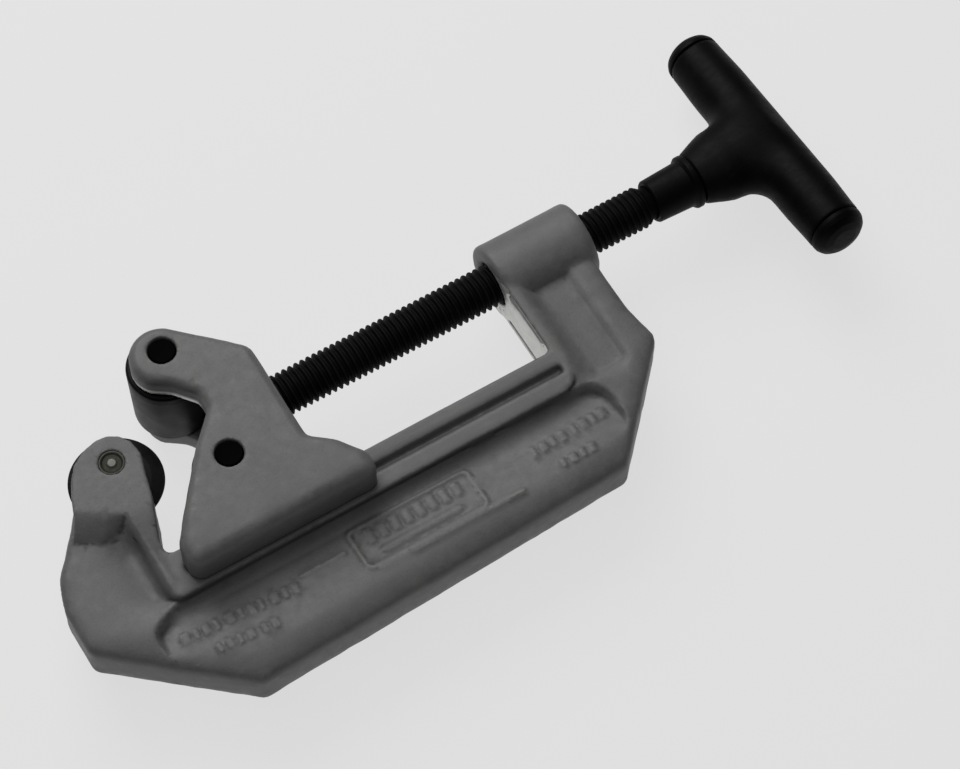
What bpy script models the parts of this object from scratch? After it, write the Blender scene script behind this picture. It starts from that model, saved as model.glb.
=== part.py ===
"""Pipe cutter lying on its side: C-frame with a cutting wheel, sliding roller carriage, feed screw, T-handle.

Frame of reference: +X along the feed screw towards the handle, +Y from the beam towards the screw,
+Z up. The tool rests on z = 0. Dimensions are written in millimetres about the point where the screw
axis meets the mid-plane of the tool, and are scaled to metres when an object is made.
"""
import math

import bmesh
import bpy
from mathutils import Matrix, Vector

MM = 0.001
COLLECTION = "pipe_cutter"

# Where the screw-axis datum sits in the finished frame (mm).
DATUM = Vector((-8.06, 16.37, 21.3))

GAP = 0.3

# Feed screw: half-inch rod, thirteen threads to the inch.
SCREW_R = 6.35
SCREW_PITCH = 25.4 / 13.0
SCREW_TIP_X = -46.4
THREAD_END_X = 84.5
SCREW_END_X = 121.0
GROOVE_X = (-44.6, -41.8)
GROOVE_R = 4.6
KEEPER_R = 1.2
KEEPER_Y = 6.2

# C-frame casting.
BODY_HALF = 8.0
TRACK_HALF = 9.5
FORK_HALF = 12.6
ARM_FACE_X = 33.4
BOSS_R = 11.7
BOSS_X = (33.0, 63.0)
RAIL_TOP_Y = -30.7
GUIDE_Y = (-38.3, -35.7)
GUIDE_FLOOR = 7.2
PANEL_FLOOR = 5.0

# Cutting wheel and its pin.
WHEEL_AT = (-87.9, 0.0)
WHEEL_R = 13.5
WHEEL_BORE_R = 3.5
WHEEL_HUB_R = 6.5
WHEEL_HUB_HALF = 2.4
FORK_SLOT_HALF = 3.5
FORK_SLOT_R = 14.8
WHEEL_PIN_R = 3.2
WHEEL_PIN_HEAD_R = 3.6

# Roller carriage.
SLIDE_HALF = 21.3
SLIDE_LIP_Y = -42.6
CHANNEL_HALF = TRACK_HALF + GAP
NOSE_AT = (-62.2, 18.4)
NOSE_R = 8.9
ROLLER_SLOT_HALF = 12.7
ROLLER_HALF = 12.3
ROLLER_R = 11.0
ROLLER_PIN_R = 3.95
UPPER_ROLLER_AT = (-61.3, 19.0)
LOWER_ROLLER_AT = (-60.4, -17.9)

# T-handle.
GRIP_X = 126.0
GRIP_TILT = math.radians(6.95)
GRIP_R = 8.9
GRIP_HALF = 42.0
CAP_LEN = 5.2
CORE_R = 3.0
CROSS_PIN_R = 1.5
CROSS_PIN_X = 109.0


def wipe_scene():
    """Clear the file so that the build starts from nothing."""
    for obj in list(bpy.data.objects):
        bpy.data.objects.remove(obj, do_unlink=True)


def make_collection(name, hidden=False):
    """Make a collection in the scene."""
    coll = bpy.data.collections.new(name)
    bpy.context.scene.collection.children.link(coll)
    coll.hide_render = hidden
    return coll


def material(name, colour, roughness, metallic):
    """Plain Principled material."""
    mat = bpy.data.materials.new(name)
    mat.use_nodes = True
    shader = mat.node_tree.nodes["Principled BSDF"]
    shader.inputs["Base Color"].default_value = (*colour, 1.0)
    shader.inputs["Roughness"].default_value = roughness
    shader.inputs["Metallic"].default_value = metallic
    return mat


def arc(cx, cy, r, a0, a1, steps):
    """Points on an arc, angles in degrees."""
    pts = []
    for i in range(steps + 1):
        a = math.radians(a0 + (a1 - a0) * i / steps)
        pts.append((cx + r * math.cos(a), cy + r * math.sin(a)))
    return pts


def rounded(corners, steps=4):
    """Closed outline from (x, y, radius) corners, each corner rounded by its radius."""
    pts = []
    n = len(corners)
    for i, (x, y, r) in enumerate(corners):
        p = Vector((x, y))
        a = (Vector(corners[i - 1][:2]) - p).normalized()
        b = (Vector(corners[(i + 1) % n][:2]) - p).normalized()
        if r <= 0.0:
            pts.append((x, y))
            continue
        half = a.angle(b) / 2.0
        reach = r / math.tan(half)
        centre = p + (a + b).normalized() * (r / math.sin(half))
        start = p + a * reach - centre
        end = p + b * reach - centre
        a0 = math.atan2(start.y, start.x)
        turn = math.atan2(end.y, end.x) - a0
        turn = (turn + math.pi) % (2.0 * math.pi) - math.pi
        count = max(1, min(steps, int(math.ceil(math.degrees(abs(turn)) / 15.0))))
        for k in range(count + 1):
            t = a0 + turn * k / count
            pts.append((centre.x + r * math.cos(t), centre.y + r * math.sin(t)))
    return pts


def mesh_object(name, bm, coll, mat=None):
    """Turn a bmesh in mm into a mesh object in metres, placed about the datum."""
    bmesh.ops.scale(bm, vec=(MM, MM, MM), verts=bm.verts)
    bmesh.ops.recalc_face_normals(bm, faces=bm.faces)
    mesh = bpy.data.meshes.new(name)
    bm.to_mesh(mesh)
    bm.free()
    obj = bpy.data.objects.new(name, mesh)
    obj.location = DATUM * MM
    coll.objects.link(obj)
    if mat is not None:
        mesh.materials.append(mat)
    return obj


def plate(name, outline, z0, z1, coll, mat=None):
    """Flat outline given thickness from z0 to z1 (mm)."""
    curve = bpy.data.curves.new(name + "_outline", "CURVE")
    curve.dimensions = "2D"
    curve.fill_mode = "BOTH"
    curve.extrude = (z1 - z0) / 2.0
    spline = curve.splines.new("POLY")
    spline.points.add(len(outline) - 1)
    for point, (x, y) in zip(spline.points, outline):
        point.co = (x, y, 0.0, 1.0)
    spline.use_cyclic_u = True
    holder = bpy.data.objects.new(name + "_outline", curve)
    bpy.context.scene.collection.objects.link(holder)
    graph = bpy.context.evaluated_depsgraph_get()
    mesh = bpy.data.meshes.new_from_object(holder.evaluated_get(graph))
    bpy.data.objects.remove(holder, do_unlink=True)
    bm = bmesh.new()
    bm.from_mesh(mesh)
    bpy.data.meshes.remove(mesh)
    bmesh.ops.remove_doubles(bm, verts=bm.verts, dist=0.001)
    bmesh.ops.dissolve_limit(bm, angle_limit=0.01, verts=bm.verts, edges=bm.edges)
    bmesh.ops.translate(bm, vec=(0.0, 0.0, (z0 + z1) / 2.0), verts=bm.verts)
    return mesh_object(name, bm, coll, mat)


def box(name, lo, hi, coll, mat=None):
    """Axis-aligned block between two corners (mm)."""
    bm = bmesh.new()
    bmesh.ops.create_cube(bm, size=1.0)
    size = [hi[i] - lo[i] for i in range(3)]
    centre = [(hi[i] + lo[i]) / 2.0 for i in range(3)]
    bmesh.ops.scale(bm, vec=size, verts=bm.verts)
    bmesh.ops.translate(bm, vec=centre, verts=bm.verts)
    return mesh_object(name, bm, coll, mat)


def hull(name, points, coll, mat=None):
    """Convex solid around a set of points (mm)."""
    bm = bmesh.new()
    verts = [bm.verts.new(p) for p in points]
    result = bmesh.ops.convex_hull(bm, input=verts)
    spare = [g for g in result["geom_interior"] if isinstance(g, bmesh.types.BMVert)]
    bmesh.ops.delete(bm, geom=spare, context="VERTS")
    bmesh.ops.dissolve_limit(bm, angle_limit=0.01, verts=bm.verts, edges=bm.edges)
    return mesh_object(name, bm, coll, mat)


def rod(name, r, lo, hi, axis, coll, mat=None, sides=32, across=(0.0, 0.0)):
    """Cylinder along X, Y or Z from lo to hi (mm); across gives its place on the other two axes."""
    bm = bmesh.new()
    bmesh.ops.create_cone(bm, cap_ends=True, segments=sides, radius1=r, radius2=r, depth=hi - lo)
    mid = (lo + hi) / 2.0
    if axis == "X":
        turn = Matrix.Rotation(math.pi / 2.0, 3, "Y")
        place = (mid, across[0], across[1])
    elif axis == "Y":
        turn = Matrix.Rotation(math.pi / 2.0, 3, "X")
        place = (across[0], mid, across[1])
    else:
        turn = Matrix.Identity(3)
        place = (across[0], across[1], mid)
    bmesh.ops.rotate(bm, cent=(0.0, 0.0, 0.0), matrix=turn, verts=bm.verts)
    bmesh.ops.translate(bm, vec=place, verts=bm.verts)
    return mesh_object(name, bm, coll, mat)


def turned(name, profile, axis, origin, coll, mat=None, sides=32):
    """Turned solid; profile is (radius, height) pairs down the outer side from top to bottom (mm)."""
    mesh = bpy.data.meshes.new(name)
    verts = [(r * MM, 0.0, h * MM) for r, h in profile]
    edges = [(i, i + 1) for i in range(len(verts) - 1)]
    if profile[0][0] > 0.0 and profile[-1][0] > 0.0:
        edges.append((len(verts) - 1, 0))
    mesh.from_pydata(verts, edges, [])
    obj = bpy.data.objects.new(name, mesh)
    obj.location = (DATUM + Vector(origin)) * MM
    if axis == "X":
        obj.rotation_euler = (0.0, math.pi / 2.0, 0.0)
    elif axis == "GRIP":
        obj.rotation_euler = (math.pi / 2.0 - GRIP_TILT, 0.0, 0.0)
    coll.objects.link(obj)
    screw = obj.modifiers.new("turn", "SCREW")
    screw.axis = "Z"
    screw.steps = sides
    screw.render_steps = sides
    screw.use_merge_vertices = True
    screw.merge_threshold = 0.00001
    if mat is not None:
        mesh.materials.append(mat)
    return obj


def cut(obj, tool, coll):
    """Take the tool away from the object."""
    hide_tool(tool, coll)
    mod = obj.modifiers.new("cut_" + tool.name, "BOOLEAN")
    mod.operation = "DIFFERENCE"
    mod.solver = "EXACT"
    mod.object = tool


def join(obj, tool, coll):
    """Add the tool to the object as one solid."""
    hide_tool(tool, coll)
    mod = obj.modifiers.new("join_" + tool.name, "BOOLEAN")
    mod.operation = "UNION"
    mod.solver = "EXACT"
    mod.object = tool


def hide_tool(tool, coll):
    """Keep a cutting or joining tool out of the finished part."""
    for other in list(tool.users_collection):
        other.objects.unlink(tool)
    coll.objects.link(tool)
    tool.display_type = "WIRE"
    tool.hide_render = True


def soften(obj, width, segments=1, angle=40.0):
    """Round or chamfer the sharp edges."""
    mod = obj.modifiers.new("soften", "BEVEL")
    mod.width = width * MM
    mod.segments = segments
    mod.limit_method = "ANGLE"
    mod.angle_limit = math.radians(angle)
    mod.use_clamp_overlap = True


def smooth(obj, angle=35.0):
    """Shade round surfaces smooth and keep edges crisp."""
    obj.data.shade_smooth()
    obj.data.set_sharp_from_angle(angle=math.radians(angle))


def body_outline():
    """C shape of the casting seen from above."""
    return rounded([
        (60.3, 0.0, 0.0),
        (ARM_FACE_X, 0.0, 0.0),
        (ARM_FACE_X, RAIL_TOP_Y, 1.5),
        (-87.6, RAIL_TOP_Y, 3.2),
        (-87.3, -26.0, 3.0),
        (-83.2, -15.0, 4.0),
        (-81.0, -6.0, 0.0),
        (-101.0, -2.0, 0.0),
        (-106.6, -10.0, 8.0),
        (-115.6, -21.0, 10.0),
        (-118.8, -30.0, 8.0),
        (-118.6, -44.4, 4.0),
        (-82.6, -74.8, 4.0),
        (34.6, -70.4, 4.0),
        (62.4, -41.0, 4.0),
        (60.3, -30.0, 8.0),
    ])


def track_outline():
    """Machined band along the inside of the C: hook edge, rail and arm edge."""
    return rounded([
        (37.2, 0.0, 0.0),
        (ARM_FACE_X, 0.0, 0.0),
        (ARM_FACE_X, RAIL_TOP_Y, 1.5),
        (-87.6, RAIL_TOP_Y, 3.2),
        (-87.3, -26.0, 3.0),
        (-83.2, -15.0, 4.0),
        (-81.4, -8.0, 0.0),
        (-89.5, -8.0, 0.0),
        (-92.0, -18.0, 3.0),
        (-92.0, -43.9, 2.0),
        (37.2, -43.9, 2.0),
    ])


def fork_points():
    """Corners of the thick fork head and of the slope that runs down from it."""
    top = [
        (-79.4, -1.5), (-80.2, 3.0), (-82.4, 6.2), (-85.2, 7.9), (-88.5, 8.3), (-93.0, 7.2),
        (-97.2, 4.6), (-100.2, 0.6), (-102.4, -4.0), (-104.2, -9.6), (-92.2, -13.2), (-83.0, -13.6),
    ]
    foot = [(-107.2, -14.6), (-101.0, -18.6), (-95.0, -18.9), (-92.0, -16.6), (-84.0, -14.4)]
    points = []
    for side in (-1.0, 1.0):
        points += [(x, y, side * FORK_HALF) for x, y in top]
        points += [(x, y, side * (TRACK_HALF - 1.0)) for x, y in foot]
    return points


def ramp_points():
    """Corners of the inner edge band, easing down from the fork face to the rail face."""
    high = [(-82.4, -9.0), (-92.2, -9.0), (-92.2, -13.2), (-83.2, -13.6)]
    low = [(-92.0, -30.0), (-87.5, -30.0), (-92.0, -10.0), (-82.4, -10.0)]
    points = []
    for side in (-1.0, 1.0):
        points += [(x, y, side * FORK_HALF) for x, y in high]
        points += [(x, y, side * (TRACK_HALF - 0.1)) for x, y in low]
    return points


def panel_tool(name, side, coll):
    """Tool for the long recess in the side of the beam: steep upper wall, floor rising to the lower edge."""
    rim = rounded([
        (-103.6, -43.9, 8.0),
        (-103.6, -56.5, 4.0),
        (-84.5, -70.5, 3.0),
        (31.0, -66.4, 4.0),
        (43.6, -54.0, 4.0),
        (43.6, -43.9, 8.0),
    ])
    floor = rounded([
        (-101.6, -46.6, 6.0),
        (-101.6, -56.5, 4.0),
        (-84.0, -69.5, 3.0),
        (30.6, -65.6, 4.0),
        (41.8, -54.4, 4.0),
        (41.8, -46.6, 6.0),
    ])
    slope = (BODY_HALF - 0.4 - PANEL_FLOOR) / (69.5 - 46.6)
    points = [(x, y, side * (TRACK_HALF + 2.0)) for x, y in rim]
    points += [(x, y, side * (PANEL_FLOOR + slope * (-46.6 - y))) for x, y in floor]
    return hull(name, points, coll)


def build_frame(coll, tools, mat):
    """One-piece casting: hook with fork, beam with guide grooves, arm with threaded boss."""
    frame = plate("frame", body_outline(), -BODY_HALF, BODY_HALF, coll, mat)
    soften(frame, 2.4, 2)
    track = plate("track", track_outline(), -TRACK_HALF, TRACK_HALF, tools)
    soften(track, 0.6, 1)
    join(frame, track, tools)
    fork = hull("fork", fork_points(), tools)
    soften(fork, 0.8, 1, 30.0)
    join(frame, fork, tools)
    join(frame, hull("ramp", ramp_points(), tools), tools)
    boss = rod("boss", BOSS_R, BOSS_X[0], BOSS_X[1], "X", tools, sides=40)
    soften(boss, 1.8, 2)
    join(frame, boss, tools)
    slot = rod("wheel_slot", FORK_SLOT_R, -FORK_SLOT_HALF, FORK_SLOT_HALF, "Z", tools, sides=48,
               across=WHEEL_AT)
    cut(frame, slot, tools)
    cut(frame, rod("wheel_pin_hole", WHEEL_PIN_R + GAP, -20.0, 20.0, "Z", tools, sides=24,
                   across=WHEEL_AT), tools)
    cut(frame, rod("head_sink", WHEEL_PIN_HEAD_R + GAP, FORK_HALF - 1.6, FORK_HALF + 2.0, "Z", tools,
                   sides=24, across=WHEEL_AT), tools)
    cut(frame, rod("clip_sink", 5.2, -FORK_HALF - 2.0, -FORK_HALF + 2.1, "Z", tools,
                   sides=24, across=WHEEL_AT), tools)
    cut(frame, rod("screw_bore", SCREW_R + GAP, 25.0, 70.0, "X", tools), tools)
    for tag, side in (("front", 1.0), ("back", -1.0)):
        cut(frame, panel_tool("panel_" + tag, side, tools), tools)
        lo, hi = sorted((side * GUIDE_FLOOR, side * 14.0))
        cut(frame, box("guide_" + tag, (-86.4, GUIDE_Y[0], lo), (33.6, GUIDE_Y[1], hi), tools), tools)
        web = rounded([(38.6, -9.0, 1.0), (38.6, -40.6, 2.0), (52.6, -40.6, 5.0), (52.6, -9.0, 1.0)])
        lo, hi = sorted((side * 5.6, side * 14.0))
        cut(frame, plate("web_" + tag, web, lo, hi, tools), tools)
    bore_wall = rod("boss_refill", BOSS_R - 0.02, BOSS_X[0] + 2.0, BOSS_X[1] - 2.0, "X", tools, sides=40)
    join(frame, bore_wall, tools)
    cut(frame, rod("screw_bore_through", SCREW_R + GAP, 25.0, 70.0, "X", tools), tools)
    return frame


def slide_outline():
    """Carriage seen from above: roller nose, notch, foot that straddles the rail."""
    nose = arc(NOSE_AT[0], NOSE_AT[1], NOSE_R, 45.0, 222.0, 12)
    return rounded([(x, y, 0.0) for x, y in nose] + [
        (-63.6, 8.6, 5.0),
        (-58.9, 2.8, 3.5),
        (-58.9, -2.4, 3.5),
        (-66.8, -10.5, 0.0),
        (-79.8, -27.2, 0.0),
        (-84.9, -34.2, 5.0),
        (-85.2, SLIDE_LIP_Y, 6.0),
        (-27.5, SLIDE_LIP_Y, 4.8),
        (-27.5, -35.6, 3.5),
        (-33.4, -28.2, 5.0),
        (-39.5, -23.4, 3.0),
        (-39.5, 8.6, 5.0),
    ])


def build_slide(coll, tools, mat):
    """Carriage casting with roller slot, rail channel and screw socket."""
    slide = plate("slide_housing", slide_outline(), -SLIDE_HALF, SLIDE_HALF, coll, mat)
    soften(slide, 2.8, 2, 45.0)
    for tag, at in (("upper", UPPER_ROLLER_AT), ("lower", LOWER_ROLLER_AT)):
        cut(slide, rod("slot_" + tag, ROLLER_R + 0.6, -ROLLER_SLOT_HALF, ROLLER_SLOT_HALF, "Z", tools,
                       sides=40, across=at), tools)
        cut(slide, rod("pin_hole_" + tag, ROLLER_PIN_R + GAP, -30.0, 30.0, "Z", tools, sides=28,
                       across=at), tools)
    cut(slide, box("slot_between", (-90.0, -16.0, -ROLLER_SLOT_HALF + 0.01),
                   (-55.5, 19.0, ROLLER_SLOT_HALF - 0.01), tools), tools)
    channel = box("rail_channel", (-100.0, -60.0, -CHANNEL_HALF), (0.0, RAIL_TOP_Y + GAP, CHANNEL_HALF),
                  tools)
    cut(slide, channel, tools)
    for tag, side in (("front", 1.0), ("back", -1.0)):
        lo, hi = sorted((side * (GUIDE_FLOOR + GAP), side * (CHANNEL_HALF + 0.8)))
        rib = box("rib_" + tag, (-83.0, GUIDE_Y[0] + GAP, lo), (-29.5, GUIDE_Y[1] - GAP, hi), tools)
        join(slide, rib, tools)
    cut(slide, rod("screw_socket", SCREW_R + GAP, -49.6, -30.0, "X", tools), tools)
    for tag, y in (("a", KEEPER_Y), ("b", -KEEPER_Y)):
        cut(slide, rod("keeper_hole_" + tag, KEEPER_R + GAP, -30.0, 8.3, "Z", tools, sides=16,
                       across=(sum(GROOVE_X) / 2.0, y)), tools)
    return slide


def build_wheel(coll, mat):
    """Hardened cutting wheel: thin sharp disc with a thicker hub."""
    profile = [
        (WHEEL_BORE_R, WHEEL_HUB_HALF), (WHEEL_HUB_R, WHEEL_HUB_HALF), (WHEEL_HUB_R + 0.6, 1.7),
        (WHEEL_R - 3.6, 1.3), (WHEEL_R, 0.05), (WHEEL_R, -0.05), (WHEEL_R - 3.6, -1.3),
        (WHEEL_HUB_R + 0.6, -1.7), (WHEEL_HUB_R, -WHEEL_HUB_HALF), (WHEEL_BORE_R, -WHEEL_HUB_HALF),
    ]
    return turned("cutter_wheel", profile, "Z", (*WHEEL_AT, 0.0), coll, mat, 48)


def build_wheel_pin(coll, mat):
    """Headed pin through the fork, grooved at the far end for its clip."""
    top = FORK_HALF - 0.3
    tail = -FORK_HALF + 0.5
    profile = [
        (0.0, top), (1.7, top), (1.9, top + 0.2), (WHEEL_PIN_HEAD_R - 0.3, top + 0.2),
        (WHEEL_PIN_HEAD_R, top - 0.1), (WHEEL_PIN_HEAD_R, FORK_HALF - 1.3),
        (WHEEL_PIN_R, FORK_HALF - 1.3), (WHEEL_PIN_R, tail + 1.5), (WHEEL_PIN_R - 0.7, tail + 1.5),
        (WHEEL_PIN_R - 0.7, tail + 0.6), (WHEEL_PIN_R, tail + 0.6), (WHEEL_PIN_R - 0.3, tail),
        (0.0, tail),
    ]
    return turned("wheel_pin", profile, "Z", (*WHEEL_AT, 0.0), coll, mat, 24)


def build_wheel_clip(coll, tools, mat):
    """Open retaining ring in the groove at the back end of the wheel pin."""
    z = -FORK_HALF + 0.5 + 0.7
    inner = WHEEL_PIN_R - 0.4
    ring = turned("wheel_pin_clip", [(inner, z + 0.55), (4.7, z + 0.55), (4.7, z), (inner, z)], "Z",
                  (*WHEEL_AT, 0.0), coll, mat, 24)
    mouth = box("clip_mouth", (WHEEL_AT[0] - 1.7, WHEEL_AT[1] - 8.0, z - 1.0),
                (WHEEL_AT[0] + 1.7, WHEEL_AT[1], z + 2.0), tools)
    cut(ring, mouth, tools)
    return ring


def build_wheel_washers(coll, mat):
    """Thin washers that centre the wheel between the fork cheeks."""
    made = []
    for name, lo in (("wheel_washer_front", WHEEL_HUB_HALF + 0.25), ("wheel_washer_back",
                                                                   -WHEEL_HUB_HALF - 0.8)):
        profile = [(WHEEL_BORE_R, lo + 0.55), (6.0, lo + 0.55), (6.0, lo), (WHEEL_BORE_R, lo)]
        made.append(turned(name, profile, "Z", (*WHEEL_AT, 0.0), coll, mat, 28))
    return made


def build_roller(name, at, coll, mat):
    """Plain steel roller with rounded rims."""
    bore = ROLLER_PIN_R + GAP
    profile = [
        (bore, ROLLER_HALF), (ROLLER_R - 1.0, ROLLER_HALF), (ROLLER_R - 0.3, ROLLER_HALF - 0.3),
        (ROLLER_R, ROLLER_HALF - 1.0), (ROLLER_R, -ROLLER_HALF + 1.0),
        (ROLLER_R - 0.3, -ROLLER_HALF + 0.3), (ROLLER_R - 1.0, -ROLLER_HALF), (bore, -ROLLER_HALF),
    ]
    return turned(name, profile, "Z", (*at, 0.0), coll, mat, 40)


def build_roller_pin(name, at, coll, mat):
    """Plain dowel, its chamfered ends just below the faces of the carriage."""
    end = SLIDE_HALF - 0.5
    profile = [
        (0.0, end), (ROLLER_PIN_R - 0.5, end), (ROLLER_PIN_R, end - 0.5), (ROLLER_PIN_R, -end + 0.5),
        (ROLLER_PIN_R - 0.5, -end), (0.0, -end),
    ]
    return turned(name, profile, "Z", (*at, 0.0), coll, mat, 28)


def build_screw(coll, tools, mat):
    """Feed screw: grooved tip held in the carriage, thread, plain end inside the handle."""
    tip = SCREW_TIP_X
    profile = [
        (0.0, SCREW_END_X), (4.6, SCREW_END_X), (5.0, SCREW_END_X - 0.4), (5.0, THREAD_END_X + 1.6),
        (5.0, THREAD_END_X + 0.8), (SCREW_R, THREAD_END_X), (SCREW_R, GROOVE_X[1] + 0.4),
        (GROOVE_R, GROOVE_X[1]), (GROOVE_R, GROOVE_X[0]), (SCREW_R - 0.5, GROOVE_X[0]),
        (SCREW_R - 0.9, tip), (0.0, tip),
    ]
    screw = turned("feed_screw", profile, "X", (0.0, 0.0, 0.0), coll, mat, 32)
    cut(screw, rod("cross_pin_hole", CROSS_PIN_R + GAP, -20.0, 20.0, "Z", tools, sides=16,
                   across=(CROSS_PIN_X, 0.0)), tools)
    return screw


def build_thrust_ball(coll, mat):
    """Ball that takes the push of the screw at the bottom of its socket."""
    bm = bmesh.new()
    bmesh.ops.create_uvsphere(bm, u_segments=14, v_segments=8, radius=1.25)
    bmesh.ops.translate(bm, vec=(-48.0, 0.0, 0.0), verts=bm.verts)
    return mesh_object("thrust_ball", bm, coll, mat)


def build_keepers(coll, mat):
    """Two spring pins beside the screw groove that keep the screw in the carriage."""
    x = sum(GROOVE_X) / 2.0
    return [
        rod("screw_keeper_pin_a", KEEPER_R, -SLIDE_HALF + 0.8, 8.0, "Z", coll, mat, 16, (x, KEEPER_Y)),
        rod("screw_keeper_pin_b", KEEPER_R, -SLIDE_HALF + 0.8, 8.0, "Z", coll, mat, 16, (x, -KEEPER_Y)),
    ]


def build_collar(coll, mat):
    """Sleeve on the plain part of the screw between thread and handle, flanged at the handle end."""
    profile = [
        (5.3, 101.0), (7.7, 101.0), (8.2, 100.5), (8.2, 99.2), (7.7, 98.7), (7.1, 98.4),
        (6.6, 86.9), (6.2, 86.4), (5.3, 86.4),
    ]
    return turned("neck_collar", profile, "X", (0.0, 0.0, 0.0), coll, mat, 32)


def build_grip(coll, tools, mat):
    """T-shaped moulding: cross bar and the tapered hub that takes the end of the screw."""
    half = GRIP_HALF - CAP_LEN
    bar = turned("handle_grip", [
        (0.0, half), (GRIP_R - 0.5, half), (GRIP_R - 0.25, half - 0.4), (GRIP_R, half - 12.0),
        (GRIP_R, -half + 12.0), (GRIP_R - 0.25, -half + 0.4), (GRIP_R - 0.5, -half), (0.0, -half),
    ], "GRIP", (GRIP_X, 0.0, 0.0), coll, mat, 36)
    hub = turned("grip_hub", [
        (0.0, 127.0), (11.4, 127.0), (13.0, 118.0), (12.0, 114.5), (11.5, 109.5), (10.4, 106.6),
        (8.5, 101.8), (8.0, 101.3), (0.0, 101.3),
    ], "X", (0.0, 0.0, 0.0), tools, None, 36)
    hub.scale = (0.78, 1.0, 1.0)
    join(bar, hub, tools)
    cut(bar, rod("grip_bore", 5.0 + GAP, 90.0, SCREW_END_X + 0.3, "X", tools), tools)
    core = turned("core_bore", [(0.0, 60.0), (CORE_R + GAP, 60.0), (CORE_R + GAP, -60.0), (0.0, -60.0)],
                  "GRIP", (GRIP_X, 0.0, 0.0), tools, None, 20)
    cut(bar, core, tools)
    cut(bar, rod("grip_pin_hole", CROSS_PIN_R + GAP, -20.0, 6.9, "Z", tools, sides=16,
                 across=(CROSS_PIN_X, 0.0)), tools)
    return bar


def build_core(coll, mat):
    """Steel bar that stiffens the moulded cross bar."""
    half = GRIP_HALF - CAP_LEN - 0.4
    profile = [
        (0.0, half), (CORE_R - 0.3, half), (CORE_R, half - 0.3), (CORE_R, -half + 0.3),
        (CORE_R - 0.3, -half), (0.0, -half),
    ]
    return turned("handle_core_bar", profile, "GRIP", (GRIP_X, 0.0, 0.0), coll, mat, 20)


def build_grip_pin(coll, mat):
    """Cross pin that locks the handle to the screw."""
    return rod("handle_cross_pin", CROSS_PIN_R, -8.2, 6.6, "Z", coll, mat, 16, (CROSS_PIN_X, 0.0))


def build_caps(coll, mat):
    """Domed plugs that close the two ends of the cross bar."""
    inner = GRIP_HALF - CAP_LEN + 0.3
    r = GRIP_R - 0.5
    dome = [
        (0.0, GRIP_HALF), (r * 0.45, GRIP_HALF - 0.15), (r * 0.72, GRIP_HALF - 0.8),
        (r * 0.9, GRIP_HALF - 2.0), (r * 0.985, GRIP_HALF - 3.4), (r, inner), (0.0, inner),
    ]
    far = turned("handle_cap_far", dome, "GRIP", (GRIP_X, 0.0, 0.0), coll, mat, 36)
    flipped = [(radius, -height) for radius, height in reversed(dome)]
    near = turned("handle_cap_near", flipped, "GRIP", (GRIP_X, 0.0, 0.0), coll, mat, 36)
    return [far, near]


def main():
    """Build every piece of the pipe cutter."""
    wipe_scene()
    coll = make_collection(COLLECTION)
    tools = make_collection(COLLECTION + "_tools", hidden=True)
    paint = material("grey_casting_paint", (0.130, 0.133, 0.130), 0.48, 0.25)
    steel = material("roller_steel", (0.30, 0.30, 0.30), 0.32, 1.0)
    dark = material("black_steel", (0.012, 0.012, 0.013), 0.45, 0.6)
    blade = material("wheel_steel", (0.045, 0.045, 0.050), 0.35, 0.9)
    bright = material("bright_pin_steel", (0.42, 0.42, 0.42), 0.30, 1.0)
    plastic = material("black_moulding", (0.010, 0.010, 0.011), 0.38, 0.0)
    pieces = [
        build_frame(coll, tools, paint),
        build_wheel(coll, blade),
        build_wheel_pin(coll, bright),
        build_wheel_clip(coll, tools, dark),
        *build_wheel_washers(coll, bright),
        build_slide(coll, tools, paint),
        build_roller("roller_upper", UPPER_ROLLER_AT, coll, steel),
        build_roller("roller_lower", LOWER_ROLLER_AT, coll, steel),
        build_roller_pin("roller_pin_upper", UPPER_ROLLER_AT, coll, dark),
        build_roller_pin("roller_pin_lower", LOWER_ROLLER_AT, coll, dark),
        build_screw(coll, tools, dark),
        build_thrust_ball(coll, bright),
        *build_keepers(coll, dark),
        build_collar(coll, plastic),
        build_grip(coll, tools, plastic),
        build_core(coll, bright),
        build_grip_pin(coll, dark),
        *build_caps(coll, plastic),
    ]
    for piece in pieces:
        smooth(piece)


main()
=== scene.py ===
"""Looks of the pipe cutter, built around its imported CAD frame.

Lengths are written in millimetres about the point where the screw axis meets the mid-plane of the
tool, and are turned into metres in the row frame by DATUM, which is read from the CAD nodes.
Castings and the T-handle are modelled as signed distances on a grid and meshed; everything else
is turned on a lathe or built point by point.
"""
import math

import bmesh
import bpy
import numpy as np
import openvdb
from mathutils import Matrix, Vector


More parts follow.
